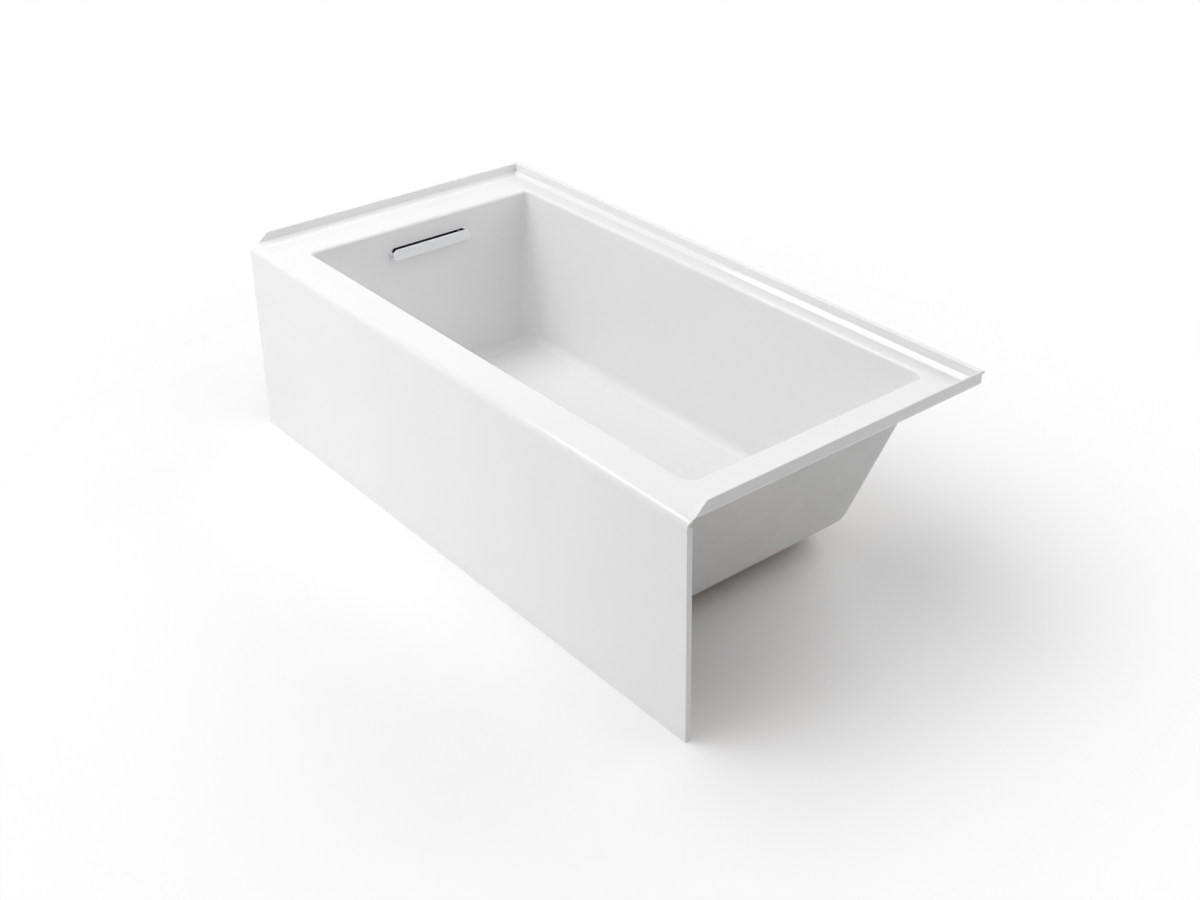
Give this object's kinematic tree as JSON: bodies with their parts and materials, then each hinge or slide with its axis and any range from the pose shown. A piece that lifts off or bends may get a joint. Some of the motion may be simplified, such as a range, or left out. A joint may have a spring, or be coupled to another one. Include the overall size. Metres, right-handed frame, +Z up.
{
  "type": "alcove bathtub",
  "caption": "Rectangular white bath with a flat apron, tile flanges on the other sides, a chrome slotted overflow, a sloped back rest, framing, feet and a toe-tap waste.",
  "frame": {"origin": "on the floor, under the middle of the bath's length and depth", "axes": "+X along the bath from the waste end to the sloped back rest, +Y from the apron to the back wall, +Z up"},
  "size_m": [1.524, 0.762, 0.487],
  "materials": {
    "acrylic": "glossy white moulded acrylic",
    "resin": "smooth off-white glass-fibre resin",
    "foam": "rigid cream foam",
    "particle_board": "pressed particle board",
    "timber": "planed softwood",
    "steel": "zinc-plated steel",
    "chrome": "polished chrome",
    "brass": "turned brass",
    "pipe_plastic": "white waste pipe",
    "nut_plastic": "light grey moulded plastic",
    "dark_plastic": "black moulded plastic",
    "rubber": "black rubber"
  },
  "bodies": {
    "bath": {"bath_shell": "acrylic", "basin_backing": "resin", "foam_bed": "foam", "base_board": "particle_board", "apron_board": "particle_board", "front_rim_rail": "timber", "back_rim_rail": "timber", "apron_sole_rail": "timber", "apron_stud_left": "timber", "apron_stud_middle": "timber", "apron_stud_right": "timber", "apron_tie_left": "steel", "apron_tie_right": "steel", "foot_socket_left_front": "dark_plastic", "foot_socket_left_back": "dark_plastic", "foot_socket_right_front": "dark_plastic", "foot_socket_right_back": "dark_plastic", "overflow_plate": "chrome", "overflow_cover": "chrome", "overflow_screw_front": "steel", "overflow_screw_back": "steel", "overflow_gasket": "rubber", "overflow_housing": "pipe_plastic", "riser_top_nut": "nut_plastic", "riser_top_washer": "rubber", "overflow_riser": "pipe_plastic", "riser_foot_nut": "nut_plastic", "riser_foot_washer": "rubber", "waste_tee": "pipe_plastic", "arm_nut": "nut_plastic", "arm_washer": "rubber", "waste_arm": "pipe_plastic", "waste_shoe": "pipe_plastic", "shoe_gasket": "rubber", "drain_seal": "rubber", "drain_body": "chrome", "stopper_guide": "brass", "stopper_spring": "steel"},
    "stopper": {"stopper_stem": "brass"},
    "cap": {"stopper_cap": "chrome", "stopper_seal": "rubber"},
    "pad_left_front": {"foot_pad_left_front": "rubber"},
    "pad_left_back": {"foot_pad_left_back": "rubber"},
    "pad_right_front": {"foot_pad_right_front": "rubber"},
    "pad_right_back": {"foot_pad_right_back": "rubber"}
  },
  "joints": [
    {"name": "stopper_slide", "type": "slide", "parent": "bath", "child": "stopper", "axis": [0, 0, 1], "range_m": [-0.0075, 0], "deforming": ["stopper_spring"]},
    {"name": "cap_turn", "type": "hinge", "parent": "stopper", "child": "cap", "pos_m": [-0.492, 0.024, 0.074], "axis": [0, 0, 1], "continuous": true},
    {"name": "foot_left_front_screw", "type": "slide", "parent": "bath", "child": "pad_left_front", "axis": [0, 0, -1], "range_m": [0, 0.012]},
    {"name": "foot_left_back_screw", "type": "slide", "parent": "bath", "child": "pad_left_back", "axis": [0, 0, -1], "range_m": [0, 0.012]},
    {"name": "foot_right_front_screw", "type": "slide", "parent": "bath", "child": "pad_right_front", "axis": [0, 0, -1], "range_m": [0, 0.012]},
    {"name": "foot_right_back_screw", "type": "slide", "parent": "bath", "child": "pad_right_back", "axis": [0, 0, -1], "range_m": [0, 0.012]}
  ]
}
